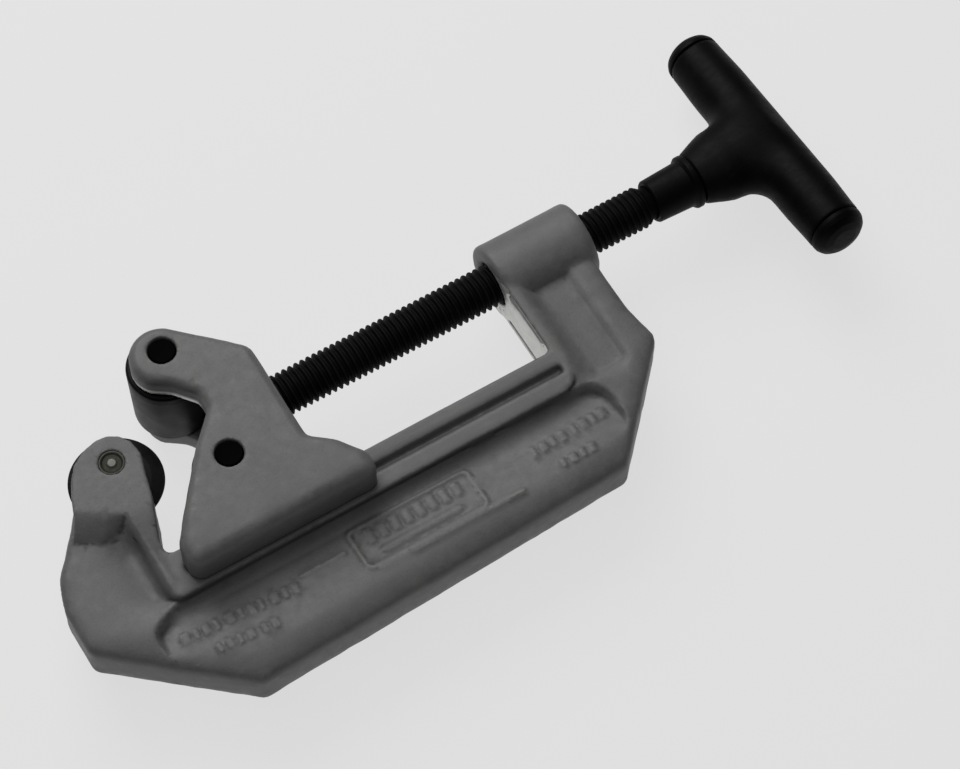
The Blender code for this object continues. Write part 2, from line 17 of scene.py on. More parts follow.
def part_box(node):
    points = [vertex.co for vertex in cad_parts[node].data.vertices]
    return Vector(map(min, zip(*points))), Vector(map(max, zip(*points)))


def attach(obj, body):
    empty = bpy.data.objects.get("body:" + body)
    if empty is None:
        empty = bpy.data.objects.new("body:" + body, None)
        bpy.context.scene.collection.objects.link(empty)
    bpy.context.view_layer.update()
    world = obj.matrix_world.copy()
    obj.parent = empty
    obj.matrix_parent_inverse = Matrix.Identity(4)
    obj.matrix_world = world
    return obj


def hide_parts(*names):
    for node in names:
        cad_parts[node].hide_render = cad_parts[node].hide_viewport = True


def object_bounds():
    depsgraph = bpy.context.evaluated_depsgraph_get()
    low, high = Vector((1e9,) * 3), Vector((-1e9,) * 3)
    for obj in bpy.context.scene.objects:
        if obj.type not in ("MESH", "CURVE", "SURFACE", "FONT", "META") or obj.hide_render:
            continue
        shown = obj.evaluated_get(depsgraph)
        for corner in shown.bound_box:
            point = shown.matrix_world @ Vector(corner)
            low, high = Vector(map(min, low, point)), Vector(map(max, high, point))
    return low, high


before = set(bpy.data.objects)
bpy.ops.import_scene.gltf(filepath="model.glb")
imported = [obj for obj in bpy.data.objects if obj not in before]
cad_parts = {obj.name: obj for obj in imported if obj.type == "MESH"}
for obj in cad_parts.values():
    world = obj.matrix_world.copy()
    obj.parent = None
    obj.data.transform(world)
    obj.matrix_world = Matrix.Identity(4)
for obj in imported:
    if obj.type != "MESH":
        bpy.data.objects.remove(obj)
CAD_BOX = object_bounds()

MM = 0.001
TAU = 2.0 * math.pi
GAP = 0.3

# Feed screw. Its size and pitch are assumed: a half-inch rod with 13 threads to the inch.
SCREW_R = 6.35
SCREW_PITCH = 25.4 / 13.0
THREAD_DEPTH = 1.0
SCREW_TIP_X = -46.4
GROOVE_X = (-44.6, -41.8)
GROOVE_R = 4.6
THREAD_X = (-41.0, 84.5)
SCREW_END_X = 121.0
KEEPER_R = 1.2
KEEPER_Y = 6.2
KEEPER_TOP = 8.0
SOCKET_END_X = -49.6

# Where the screw axis meets the mid-plane (mm), from the CAD.
SCREW_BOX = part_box("feed_screw")
DATUM = Vector((
    SCREW_BOX[0].x / MM - SCREW_TIP_X,
    (SCREW_BOX[0].y + SCREW_BOX[1].y) / 2.0 / MM,
    (SCREW_BOX[0].z + SCREW_BOX[1].z) / 2.0 / MM,
))

# Frame casting.
BODY_HALF = 8.0
TRACK_HALF = 9.5
FORK_HALF = 12.6
ARM_FACE_X = 33.4
BOSS_R = 11.7
BOSS_X = (33.0, 63.0)
RAIL_TOP_Y = -30.7
GUIDE_Y = (-38.3, -35.7)
GUIDE_R = 1.35
GUIDE_FLATTEN = 0.65
PANEL_FLOOR = 5.0
PANEL_RISE = 0.150
PANEL_WALL = 0.75
MARK_HEIGHT = 0.40
BEVEL_WIDE = 6.4
BEVEL_DEEP = 3.0
VALLEY_DEPTH = 3.4
VALLEY_WIDTH = 8.2
WEB_DEPTH = 1.4
CASTING_LUMP = 3.0

# Cutting wheel and its pin.
WHEEL_AT = (-87.9, 0.0)
WHEEL_R = 13.5
WHEEL_BORE_R = 3.5
WHEEL_HUB_R = 6.5
WHEEL_HUB_HALF = 2.4
FORK_SLOT_HALF = 3.5
FORK_SLOT_R = 14.8
WHEEL_PIN_R = 3.2
WHEEL_PIN_HEAD_R = 3.6

# Roller carriage.
SLIDE_HALF = 21.3
SLIDE_INSET = 0.15
SLIDE_LIP_Y = -42.6
NOSE_TUCK = 0.9
RIB_R = 0.95
CHANNEL_HALF = TRACK_HALF + GAP
ROLLER_SLOT_HALF = 12.7
ROLLER_HALF = 12.3
ROLLER_R = 11.0
ROLLER_PIN_R = 3.95
ROLLERS_AT = {"upper": (-61.3, 19.0), "lower": (-60.4, -17.9)}

# T-handle.
GRIP_X = 126.0
GRIP_TILT = math.radians(6.95)
GRIP_R = 8.9
GRIP_HALF = 42.0
CAP_LEN = 5.2
CORE_R = 3.0
CROSS_PIN_R = 1.5
CROSS_PIN_X = 109.0

FRAME_STEP = 0.5
SLIDE_STEP = 0.45
GRIP_STEP = 0.45


# ---------------------------------------------------------------- outlines

def arc(cx, cy, r, a0, a1, steps):
    """Points on an arc, angles in degrees."""
    angles = [math.radians(a0 + (a1 - a0) * i / steps) for i in range(steps + 1)]
    return [(cx + r * math.cos(a), cy + r * math.sin(a)) for a in angles]


def rounded(corners, closed=True, steps=6):
    """Line through (x, y, radius) corners, each corner turned into an arc of its radius."""
    pts = []
    n = len(corners)
    for i, (x, y, r) in enumerate(corners):
        if r <= 0.0 or (not closed and i in (0, n - 1)):
            pts.append((x, y))
            continue
        p = Vector((x, y))
        a = Vector(corners[i - 1][:2]) - p
        b = Vector(corners[(i + 1) % n][:2]) - p
        half = a.angle(b) / 2.0
        r = min(r, 0.48 * min(a.length, b.length) * math.tan(half))
        a.normalize()
        b.normalize()
        centre = p + (a + b).normalized() * (r / math.sin(half))
        start = p + a * (r / math.tan(half)) - centre
        end = p + b * (r / math.tan(half)) - centre
        a0 = math.atan2(start.y, start.x)
        turn = (math.atan2(end.y, end.x) - a0 + math.pi) % TAU - math.pi
        for k in range(steps + 1):
            t = a0 + turn * k / steps
            pts.append((centre.x + r * math.cos(t), centre.y + r * math.sin(t)))
    return pts


def body_outline():
    """C shape of the casting seen from above."""
    return rounded([
        (60.3, 0.0, 0.0), (ARM_FACE_X, 0.0, 0.0), (ARM_FACE_X, RAIL_TOP_Y, 1.5),
        (-87.6, RAIL_TOP_Y, 3.2), (-87.3, -26.0, 3.0), (-83.2, -15.0, 4.0), (-81.0, -6.0, 0.0),
        (-101.0, -2.0, 0.0), (-106.6, -10.0, 8.0), (-115.6, -21.0, 10.0), (-118.8, -30.0, 8.0),
        (-118.6, -44.4, 4.0), (-82.6, -74.8, 4.0), (34.6, -70.4, 4.0), (62.4, -41.0, 4.0),
        (60.3, -30.0, 8.0),
    ])


def track_outline():
    """Machined band along the inside of the C: hook edge, rail and arm edge."""
    return rounded([
        (37.2, 0.0, 0.0), (ARM_FACE_X, 0.0, 0.0), (ARM_FACE_X, RAIL_TOP_Y, 1.5),
        (-87.6, RAIL_TOP_Y, 3.2), (-87.3, -26.0, 3.0), (-83.2, -15.0, 4.0), (-81.4, -8.0, 0.0),
        (-92.4, -8.0, 0.0), (-92.2, -18.0, 3.0), (-92.4, -43.9, 3.0), (37.2, -43.9, 7.5),
    ])


def slide_outline():
    """Carriage seen from above: roller nose, notch, foot that straddles the rail."""
    nose = [(x, y, 0.0) for x, y in arc(-62.2, 18.4, 8.9, 45.0, 222.0, 24)]
    return rounded(nose + [
        (-63.6, 8.6, 5.0), (-58.9, 2.8, 3.5), (-58.9, -2.4, 3.5), (-66.8, -10.5, 0.0),
        (-79.8, -27.2, 0.0), (-84.9, -34.2, 5.0), (-85.2, SLIDE_LIP_Y, 6.0),
        (-27.5, SLIDE_LIP_Y, 4.8), (-27.5, -35.6, 3.5), (-33.4, -28.2, 5.0), (-39.5, -23.4, 3.0),
        (-39.5, 8.6, 5.0),
    ])


# ---------------------------------------------------------------- signed distances

def step_up(x, lo, hi):
    """Smooth rise from 0 at lo to 1 at hi."""
    t = np.clip((x - lo) / (hi - lo), 0.0, 1.0)
    return t * t * (3.0 - 2.0 * t)


def meet(a, b, k):
    """Union with a fillet of size k, one number or a grid of them."""
    h = np.clip(0.5 + 0.5 * (b - a) / k, 0.0, 1.0)
    return b + (a - b) * h - k * h * (1.0 - h)


def common(a, b, k):
    """Intersection with its edge eased by k."""
    return -meet(-a, -b, k)


def carve(a, tool, k):
    """Take the tool away, with its edge eased by k."""
    return common(a, -tool, k)


def flat_distance(points, x, y):
    """Signed distance from each (x, y) to a closed outline, negative inside."""
    shape = np.broadcast(x, y).shape
    best = np.full(shape, 1e9, np.float32)
    inside = np.zeros(shape, bool)
    for (ax, ay), (bx, by) in zip(points, points[1:] + points[:1]):
        ex, ey = bx - ax, by - ay
        long = ex * ex + ey * ey
        if long < 1e-12:
            continue
        t = np.clip(((x - ax) * ex + (y - ay) * ey) / long, 0.0, 1.0)
        best = np.minimum(best, (x - ax - ex * t) ** 2 + (y - ay - ey * t) ** 2)
        if abs(ey) > 1e-9:
            inside ^= ((ay > y) != (by > y)) & (x < ax + (y - ay) * ex / ey)
    return np.where(inside, -1.0, 1.0).astype(np.float32) * np.sqrt(best)


def edge_round(a, b, r):
    """Intersection of two distances whose shared edge is rounded by r."""
    a = a + r
    b = b + r
    return np.minimum(np.maximum(a, b), 0.0) + np.hypot(np.maximum(a, 0.0), np.maximum(b, 0.0)) - r


def flat_box(x, y, cx, cy, hx, hy, r):
    """Signed distance to a rounded rectangle."""
    return edge_round(np.abs(x - cx) - hx, np.abs(y - cy) - hy, r)


class Volume:
    """Grid of points in mm with the distance to a solid and the masks that its material reads."""

    def __init__(self, lo, hi, step):
        axes = [np.arange(lo[i], hi[i] + step, step).astype(np.float32) for i in range(3)]
        self.lo = np.array(lo, float)
        self.step = step
        self.x = axes[0][:, None, None]
        self.y = axes[1][None, :, None]
        self.z = axes[2][None, None, :]
        self.fx = axes[0][:, None]
        self.fy = axes[1][None, :]
        self.shape = tuple(len(a) for a in axes)
        self.machined = np.zeros(self.shape, np.float32)
        self.bare_and_highlight = np.zeros(self.shape, np.float32)

    def flat(self, points):
        """Distance to an outline, ready to combine with z."""
        return flat_distance(points, self.fx, self.fy)[:, :, None]

    def slab(self, points, half, r):
        """Outline given thickness, with rounded edges."""
        return edge_round(self.flat(points), np.abs(self.z) - half, r)

    def upright(self, at, r):
        """Cylinder along Z through a point."""
        return np.hypot(self.fx - at[0], self.fy - at[1])[:, :, None] - r

    def mill(self, solid, tool, k=0.4):
        """Machined cut: its faces are marked as bare metal."""
        near = np.clip(1.5 - np.abs(tool) / 0.5, 0.0, 1.0)
        self.machined = np.maximum(self.machined, near.astype(np.float32))
        return carve(solid, tool, k)

    def noise(self, size, seed):
        """Smooth noise of about unit height with lumps of a given size in mm."""
        rng = np.random.default_rng(seed)
        spread = rng.standard_normal(self.shape).astype(np.float32)
        spectrum = np.fft.rfftn(spread)
        waves = [np.fft.fftfreq(self.shape[0], self.step), np.fft.fftfreq(self.shape[1], self.step),
                 np.fft.rfftfreq(self.shape[2], self.step)]
        power = waves[0][:, None, None] ** 2 + waves[1][None, :, None] ** 2 + waves[2][None, None, :] ** 2
        spectrum *= np.exp(-power * (size * 2.2) ** 2)
        out = np.fft.irfftn(spectrum, self.shape).astype(np.float32)
        return out / out.std()


# ---------------------------------------------------------------- meshes

def place_mesh(name, verts, faces, matrix=None):
    """Mesh object from points in mm in the tool's axes, or in a local frame given by matrix (mm)."""
    mesh = bpy.data.meshes.new(name)
    mesh.from_pydata([], [], [])
    local = np.asarray(verts, float) * MM
    obj = bpy.data.objects.new(name, mesh)
    if matrix is None:
        local = local + np.array(DATUM) * MM
    else:
        placed = matrix.copy()
        placed.translation = (matrix.translation + DATUM) * MM
        obj.matrix_world = placed
    mesh.from_pydata(local.tolist(), [], faces)
    mesh.validate()
    mesh.polygons.foreach_set("use_smooth", [True] * len(mesh.polygons))
    bpy.context.scene.collection.objects.link(obj)
    return obj


def face_outward(obj):
    """Turn every face of a closed mesh outwards."""
    bm = bmesh.new()
    bm.from_mesh(obj.data)
    bmesh.ops.recalc_face_normals(bm, faces=bm.faces)
    bm.to_mesh(obj.data)
    bm.free()


def distinct(face):
    """Corners of a face, without the repeats that it has where a row closes to a point."""
    return [v for n, v in enumerate(face) if v not in face[:n]]


def sample(values, where):
    """Grid values at index positions, by straight interpolation."""
    top = np.array(values.shape) - 2
    base = np.clip(np.floor(where).astype(int), 0, top)
    part = np.clip(where - base, 0.0, 1.0)
    out = 0.0
    for corner in range(8):
        pick = [(corner >> i) & 1 for i in range(3)]
        weight = 1.0
        for i in range(3):
            weight = weight * (part[:, i] if pick[i] else 1.0 - part[:, i])
        out = out + weight * values[base[:, 0] + pick[0], base[:, 1] + pick[1], base[:, 2] + pick[2]]
    return out


def curvature(dist, step):
    """Twice the mean curvature of the surface, in 1/mm, from the distance grid."""
    out = np.zeros_like(dist)
    core = (slice(1, -1),) * 3
    for axis in range(3):
        ahead = [slice(1, -1)] * 3
        behind = [slice(1, -1)] * 3
        ahead[axis] = slice(2, None)
        behind[axis] = slice(None, -2)
        out[core] += dist[tuple(ahead)] + dist[tuple(behind)] - 2.0 * dist[core]
    return out / (step * step)


def add_mask(obj, name, values):
    """Per-point number that the material reads."""
    layer = obj.data.attributes.new(name, "FLOAT", "POINT")
    layer.data.foreach_set("value", np.asarray(values, np.float32))


def solid(name, vol, dist, adaptivity=0.0):
    """Closed mesh of the zero surface, with the wear, cavity and machined masks and the bare-and-highlight
    mask.
    """
    band = 4.0 * vol.step
    grid = openvdb.FloatGrid(background=4.0)
    grid.copyFromArray(np.ascontiguousarray(np.clip(dist, -band, band) / vol.step, dtype=np.float32))
    points, tris, quads = grid.convertToPolygons(isovalue=0.0, adaptivity=adaptivity)
    points = np.asarray(points, float)
    faces = [tuple(int(i) for i in f) for f in tris] + [tuple(int(i) for i in f) for f in quads]
    verts = vol.lo + points * vol.step
    obj = place_mesh(name, verts, faces)
    bm = bmesh.new()
    bm.from_mesh(obj.data)
    if bm.calc_volume(signed=True) < 0.0:
        bmesh.ops.reverse_faces(bm, faces=bm.faces)
    bm.to_mesh(obj.data)
    bm.free()
    bend = sample(curvature(dist, vol.step), points)
    add_mask(obj, "wear", step_up(bend, 0.35, 1.3))
    add_mask(obj, "cavity", step_up(-bend, 0.15, 0.9))
    add_mask(obj, "machined", sample(vol.machined, points))
    add_mask(obj, "bare_and_highlight", sample(np.broadcast_to(vol.bare_and_highlight, vol.shape), points))
    return obj


def lathe(name, profile, axis, origin, closed=False, steps=96, sweep=1.0):
    """Turned solid from (radius, height, corner radius) triples; closed gives a ring.

    The height runs along Z, along X, or along the cross bar of the handle.
    """
    line = rounded(profile, closed, 5)
    whole = sweep >= 1.0
    count = steps if whole else int(steps * sweep) + 1
    verts = []
    index = []
    for r, h in line:
        if r < 1e-6:
            index.append([len(verts)] * count)
            verts.append((0.0, 0.0, h))
            continue
        index.append(list(range(len(verts), len(verts) + count)))
        for j in range(count):
            a = TAU * sweep * j / (steps if whole else count - 1)
            verts.append((r * math.cos(a), r * math.sin(a), h))
    faces = []
    rows = len(line)
    for i in range(rows if closed else rows - 1):
        a, b = index[i], index[(i + 1) % rows]
        for j in range(count if whole else count - 1):
            k = (j + 1) % count
            face = distinct([a[j], a[k], b[k], b[j]])
            if len(face) > 2:
                faces.append(face)
    if not whole:
        faces.append([row[0] for row in index])
        faces.append([row[-1] for row in reversed(index)])
    if axis == "X":
        turn = Matrix.Rotation(math.pi / 2.0, 4, "Y")
    elif axis == "GRIP":
        tilt = Matrix.Rotation(math.pi / 2.0 - GRIP_TILT, 4, "X")
        verts = [tuple(tilt @ Vector(v)) for v in verts]
        turn = Matrix.Identity(4)
    else:
        turn = Matrix.Identity(4)
    turn.translation = Vector(origin)
    obj = place_mesh(name, verts, faces, turn)
    face_outward(obj)
    return obj


# ---------------------------------------------------------------- frame casting

def fork_distance(vol):
    """Thick fork head, with the scooped step that runs down from its cheeks to the hook."""
    head = vol.flat([
        (-79.6, -1.5), (-80.2, 3.0), (-82.4, 6.2), (-85.2, 7.9), (-88.5, 8.3), (-93.0, 7.2),
        (-97.2, 4.6), (-100.2, 0.6), (-102.4, -4.0), (-104.4, -9.4), (-107.9, -14.2), (-106.7, -15.5),
        (-103.8, -17.4), (-101.5, -18.6), (-98.9, -19.1), (-96.5, -19.1), (-94.1, -18.2),
        (-92.1, -16.9), (-91.5, -15.7), (-83.2, -15.4), (-81.4, -8.0),
    ])
    below = (vol.x + 103.9) * -0.550 + (vol.y + 7.6) * -0.835
    beside = (vol.x + 103.9) * 0.835 + (vol.y + 7.6) * -0.550
    reach = 7.9 * np.sqrt(np.clip(1.0 - (np.maximum(beside - 5.5, 0.0) / 9.3) ** 2, 0.03, 1.0))
    slope = np.maximum(below, 0.0) / reach
    top = FORK_HALF - 4.8 * slope * np.sqrt(0.35 + 0.65 * np.minimum(slope, 1.0))
    return edge_round(head, (np.abs(vol.z) - top) * 0.85, 0.7)


def panel_floor(vol):
    """Height of the panel floor above the mid-plane: lowest under the rail, rising to the lower edge."""
    return PANEL_FLOOR + np.maximum(-48.0 - vol.y, 0.0) * PANEL_RISE


def panel_rim(vol):
    """Outline of the panel at the level of the rail."""
    return vol.flat(rounded([
        (-92.6, -42.2, 4.0), (-102.8, -47.8, 5.0), (-103.2, -58.0, 9.0), (-84.5, -79.0, 3.0),
        (27.0, -79.0, 3.0), (43.2, -60.0, 9.0), (43.2, -42.6, 9.0),
    ]))


def relief(vol):
    """Plain raised marks on the panel floor: strokes, bars and a frame, nothing that reads."""
    x, y = vol.fx, vol.fy
    boxes = []
    for first, level, count, tall, drop in ((-95.6, -53.4, 11, 1.65, -0.07), (-88.6, -60.8, 6, 1.5, -0.08),
                                            (13.6, -54.0, 8, 1.65, 0.03), (18.6, -61.4, 4, 1.5, 0.0)):
        left = first
        for i in range(count):
            wide = (0.65, 1.0, 0.75, 1.15)[(i * 3 + count) % 4]
            gap = 2.2 if i % 4 == 3 else 1.25
            left += wide
            boxes.append((left, level + drop * (left - first), wide, tall, 0.45))
            left += wide + gap
    boxes.append((-52.4, -53.5, 7.0, 0.55, 0.5))
    for i in range(8):
        boxes.append((-37.2 + i * 3.9, -52.6, 1.05, 2.3, 0.5))
    boxes += [(-24.0, -58.3, 12.6, 0.95, 0.6), (-12.0, -62.9, 18.0, 0.55, 0.5)]
    marks = np.abs(flat_box(x, y, -23.5, -55.2, 18.8, 6.6, 2.0)) - 0.5
    for cx, cy, hx, hy, r in boxes:
        marks = np.minimum(marks, flat_box(x, y, cx, cy, hx, hy, r))
    return marks[:, :, None]


def guide_distance(vol, r):
    """Rounded bar along X at the side face of the rail: the guide groove, and the rib that runs in it."""
    return np.hypot(vol.y - sum(GUIDE_Y) / 2.0, GUIDE_FLATTEN * (np.abs(vol.z) - TRACK_HALF)) - r


def make_frame():
    """One-piece casting: hook with fork, beam with guide grooves, arm with threaded boss."""
    vol = Volume((-120.5, -76.6, -14.0), (65.5, 13.5, 14.0), FRAME_STEP)
    x, y, z = vol.x, vol.y, vol.z
    az = np.abs(z)
    outline = vol.flat(body_outline())
    left = np.maximum(-92.0 - x, 0.0)
    along = step_up(y, -46.0, -37.0) * (1.0 - step_up(y, -25.0, -17.0))
    valley = VALLEY_DEPTH * np.exp(-(left / VALLEY_WIDTH) ** 2) * along * (1.0 - step_up(x, -92.6, -89.6))
    web = WEB_DEPTH * step_up(x, 37.4, 42.0) * (1.0 - step_up(x, 49.8, 53.4)) * step_up(y, -45.0, -41.0)
    body = edge_round(outline, az - (BODY_HALF - valley - web), np.where(z > 0.0, 2.2, 1.2))
    low = (1.0 - step_up(y, -62.0, -30.0)) * (1.0 - 0.75 * step_up(x, 30.0, 46.0))
    low = 0.10 + 0.90 * low * np.where(z > 0.0, 1.0, 0.10)
    wide, deep = BEVEL_WIDE * low, BEVEL_DEEP * low
    bevel = ((outline + wide) * deep + (az - BODY_HALF) * wide) / np.hypot(wide, deep)
    body = common(body, bevel, 2.0)
    body = body + 0.045 * vol.noise(CASTING_LUMP, 11) * (outline < 3.0)
    floor = panel_floor(vol)
    rim = panel_rim(vol)
    crisp = np.maximum(step_up(x, 24.0, 36.0), 1.0 - step_up(x, -98.0, -90.0))
    panel = common(rim + PANEL_WALL * (TRACK_HALF - az), floor - az, 2.4 - 1.4 * crisp)
    body = carve(body, panel, 1.0 - 0.5 * crisp)
    marks = edge_round(relief(vol), az - floor - MARK_HEIGHT, 0.35)
    body = meet(body, np.maximum(marks, az - 7.6), 0.8)
    rise = (FORK_HALF - TRACK_HALF) * step_up(y, -33.0, -15.0) * (x < 0.0)
    track = edge_round(vol.flat(track_outline()), az - TRACK_HALF - rise, 0.8 + 1.2 * step_up(x, 34.0, 36.0)
                       + 1.2 * (1.0 - step_up(x, -91.5, -89.5)))
    soft = 0.05 + 6.5 * (1.0 - step_up(x, -91.4, -88.0)) * step_up(y, -43.5, -38.0)
    soft = soft + 3.5 * step_up(x, 34.0, 37.0)
    body = meet(body, track, soft)
    body = np.minimum(body, fork_distance(vol))
    boss_mid = sum(BOSS_X) / 2.0
    boss = edge_round(np.hypot(y, z) - BOSS_R, np.abs(x - boss_mid) - (BOSS_X[1] - boss_mid), 1.8)
    under = edge_round(np.hypot(y + 2.2, z) - BOSS_R + 0.4, np.abs(x - boss_mid) - 13.6, 2.5)
    body = meet(body, meet(boss, under, 1.5), 0.7)
    guide = guide_distance(vol, GUIDE_R)
    body = carve(body, common(guide, np.abs(x + 25.7) - 59.3, 1.0), 0.8)
    nick = np.maximum(np.hypot(x - ARM_FACE_X, az - 7.2) - 0.85, np.abs(y + 18.5) - 9.5)
    body = carve(body, nick, 0.2)
    body = vol.mill(body, np.maximum(vol.upright(WHEEL_AT, FORK_SLOT_R), az - FORK_SLOT_HALF), 0.5)
    body = carve(body, vol.upright(WHEEL_AT, WHEEL_PIN_R + GAP), 0.3)
    body = carve(body, np.maximum(vol.upright(WHEEL_AT, WHEEL_PIN_HEAD_R + 0.1), FORK_HALF - 1.6 - z), 0.2)
    body = vol.mill(body, np.maximum(vol.upright(WHEEL_AT, 5.2), FORK_HALF - 2.1 + z), 0.4)
    bore = np.hypot(y, z) - (SCREW_R + GAP)
    flare = np.minimum(np.abs(x - BOSS_X[0]), np.abs(x - BOSS_X[1]))
    bore = bore - np.maximum(0.0, 1.1 - flare)
    body = vol.mill(body, np.maximum(bore, 20.0 - x), 0.3)
    face = np.clip(2.0 - np.abs(x - ARM_FACE_X) / 0.4, 0.0, 1.0) * (y > RAIL_TOP_Y - 1.0) * (az < 9.0)
    top = np.clip(2.0 - np.abs(y - RAIL_TOP_Y) / 0.4, 0.0, 1.0) * (x > -86.0) * (x < ARM_FACE_X) * (az < 9.0)
    vol.machined = np.maximum(vol.machined, np.maximum(face, top))
    # Painted reflection: the machined inner face of the arm, bare metal, gets pale glossy colour in place of
    # the light it reflects.
    vol.bare_and_highlight = face * (az < 8.6) * (np.abs(y + 15.0) < 16.5)
    return solid("frame_casting", vol, body, 0.05)


# ---------------------------------------------------------------- roller carriage

def make_slide():
    """Carriage casting with roller slot, rail channel and screw socket.

    The back cheek of the nose is a little smaller than the front one, and the lip of the front one
    carries a painted highlight: pale, glossy colour in place of the light that its edge catches.
    """
    vol = Volume((-87.5, -44.6, -23.0), (-25.0, 30.0, 23.0), SLIDE_STEP)
    x, y, z = vol.x, vol.y, vol.z
    az = np.abs(z)
    outline = vol.flat(slide_outline())
    soft = 2.7 + 1.5 * (1.0 - step_up(y, -40.0, -26.0))
    tuck = NOSE_TUCK * (1.0 - step_up(x, -62.0, -56.0)) * step_up(y, 2.0, 8.0) * (z < 0.0)
    body = edge_round(outline + tuck, az - SLIDE_HALF + SLIDE_INSET, soft)
    body = body + 0.035 * vol.noise(CASTING_LUMP, 23)
    slot = None
    for at in ROLLERS_AT.values():
        disc = vol.upright(at, ROLLER_R + 0.6)
        slot = disc if slot is None else np.minimum(slot, disc)
    between = flat_box(vol.fx, vol.fy, -72.75, 1.5, 17.25, 17.5, 0.5)[:, :, None]
    slot = np.maximum(np.minimum(slot, between), az - ROLLER_SLOT_HALF)
    body = vol.mill(body, slot, 0.9)
    for at in ROLLERS_AT.values():
        hole = vol.upright(at, ROLLER_PIN_R + 0.12)
        rim = hole - 0.3 * np.clip(az - SLIDE_HALF + 0.7, 0.0, 1.0)
        body = carve(body, rim, 0.25)
    channel = common(y - (RAIL_TOP_Y + GAP), az - CHANNEL_HALF, 0.4)
    body = vol.mill(body, channel, 0.5)
    rib = np.maximum(guide_distance(vol, RIB_R), az - CHANNEL_HALF - 0.8)
    rib = common(rib, np.abs(x + 56.25) - 26.75, 0.3)
    body = np.minimum(body, rib)
    socket = np.maximum(np.hypot(y, z) - (SCREW_R + GAP), SOCKET_END_X - x)
    socket = socket - np.clip(1.1 - np.abs(x + 39.5), 0.0, 1.1)
    body = vol.mill(body, socket, 0.35)
    for side in (KEEPER_Y, -KEEPER_Y):
        hole = np.maximum(vol.upright((sum(GROOVE_X) / 2.0, side), KEEPER_R + 0.15), z - KEEPER_TOP - 0.3)
        body = vol.mill(body, hole, 0.15)
    # Painted highlight: a pale band along the lip of the front cheek, where the edge catches light.
    lip = np.clip(2.2 - np.abs(z - ROLLER_SLOT_HALF - 1.4) / 0.6, 0.0, 1.0)
    lip = lip * np.clip(2.0 - np.abs(outline) / 0.8, 0.0, 1.0)
    vol.bare_and_highlight = lip * (1.0 - step_up(x, -60.0, -57.5)) * (y > 1.5)
    return solid("slide_casting", vol, body, 0.05)


# ---------------------------------------------------------------- handle

def make_grip():
    """T-shaped moulding: cross bar flowing into the tapered hub that takes the end of the screw."""
    vol = Volume((100.0, -43.0, -15.0), (137.0, 43.0, 15.0), GRIP_STEP)
    x, y, z = vol.x, vol.y, vol.z
    cos, sin = math.cos(GRIP_TILT), math.sin(GRIP_TILT)
    along = -cos * y + sin * z
    across = sin * y + cos * z
    half = GRIP_HALF - CAP_LEN
    radius = GRIP_R - 0.45 * step_up(np.abs(along), 22.0, half)
    bar = np.hypot(across, x - GRIP_X) - radius
    knots = [(101.3, 8.0), (101.8, 8.5), (106.6, 10.4), (109.5, 11.4), (114.5, 12.0), (118.0, 13.0),
             (122.0, 12.4), (127.0, 10.5)]
    size = np.interp(vol.x[:, 0, 0], [k[0] for k in knots], [k[1] for k in knots])[:, None, None]
    hub = (np.hypot(y, z / 0.78) - size) * 0.88
    hub = edge_round(hub, np.abs(x - 114.15) - 12.85, 0.8)
    body = meet(bar, hub, 5.0)
    body = np.maximum(body, x - GRIP_X - GRIP_R + 0.05)
    body = edge_round(body, np.abs(along) - half, 0.5)
    core = np.hypot(across, x - GRIP_X) - (CORE_R + GAP)
    body = carve(body, core, 0.3)
    bore = np.maximum(np.hypot(y, z) - (5.0 + GAP), x - SCREW_END_X - 0.3)
    body = carve(body, bore, 0.3)
    pin = np.maximum(vol.upright((CROSS_PIN_X, 0.0), CROSS_PIN_R + 0.2), z - 6.9)
    body = carve(body, pin, 0.3)
    return solid("grip_moulding", vol, body, 0.02)


# ---------------------------------------------------------------- feed screw

def make_screw():
    """Feed screw with a real helical thread, grooved tip and plain end."""
    sides = 64
    per_pitch = 12
    dx = SCREW_PITCH / per_pitch
    rows = []
    tip = [(0.0, SCREW_TIP_X), (5.2, SCREW_TIP_X), (5.5, SCREW_TIP_X + 0.3), (5.85, GROOVE_X[0] - 0.1),
           (5.75, GROOVE_X[0]), (GROOVE_R + 0.2, GROOVE_X[0] + 0.05), (GROOVE_R, GROOVE_X[0] + 0.3),
           (GROOVE_R, GROOVE_X[1] - 0.3), (GROOVE_R + 0.25, GROOVE_X[1])]
    rows += [[(x, r)] * sides for r, x in tip]
    n = int((THREAD_X[1] - THREAD_X[0]) / dx)
    for i in range(n + 1):
        px = THREAD_X[0] + dx * i
        row = []
        for j in range(sides):
            phase = ((px - THREAD_X[0]) / SCREW_PITCH - j / sides) % 1.0
            tooth = np.clip((abs(phase - 0.5) - 0.07) / 0.33, 0.0, 1.0)
            cut = THREAD_DEPTH * float(tooth)
            start = max(0.0, 1.0 - (px - THREAD_X[0]) / 2.0)
            end = max(0.0, 1.0 - (THREAD_X[1] - px) / 1.4)
            r = SCREW_R - max(cut * (1.0 - end), THREAD_DEPTH * max(start * 0.8, end))
            row.append((px, r))
        rows.append(row)
    tail = [(5.0, THREAD_X[1] + 0.35), (5.0, SCREW_END_X - 0.5), (4.6, SCREW_END_X), (0.0, SCREW_END_X)]
    rows += [[(x, r)] * sides for r, x in tail]
    verts = []
    index = []
    for row in rows:
        if row[0][1] == 0.0:
            index.append([len(verts)] * sides)
            verts.append((row[0][0], 0.0, 0.0))
            continue
        index.append(list(range(len(verts), len(verts) + sides)))
        for j, (px, r) in enumerate(row):
            a = TAU * j / sides
            verts.append((px, r * math.cos(a), r * math.sin(a)))
    faces = []
    for a, b in zip(index, index[1:]):
        for j in range(sides):
            k = (j + 1) % sides
            faces.append(distinct([a[j], b[j], b[k], a[k]]))
    obj = place_mesh("screw_rod", verts, faces)
    depth = [math.hypot(v[1], v[2]) for v in verts]
    add_mask(obj, "wear", step_up(np.array(depth), SCREW_R - 0.35, SCREW_R))
    face_outward(obj)
    return obj


# ---------------------------------------------------------------- materials

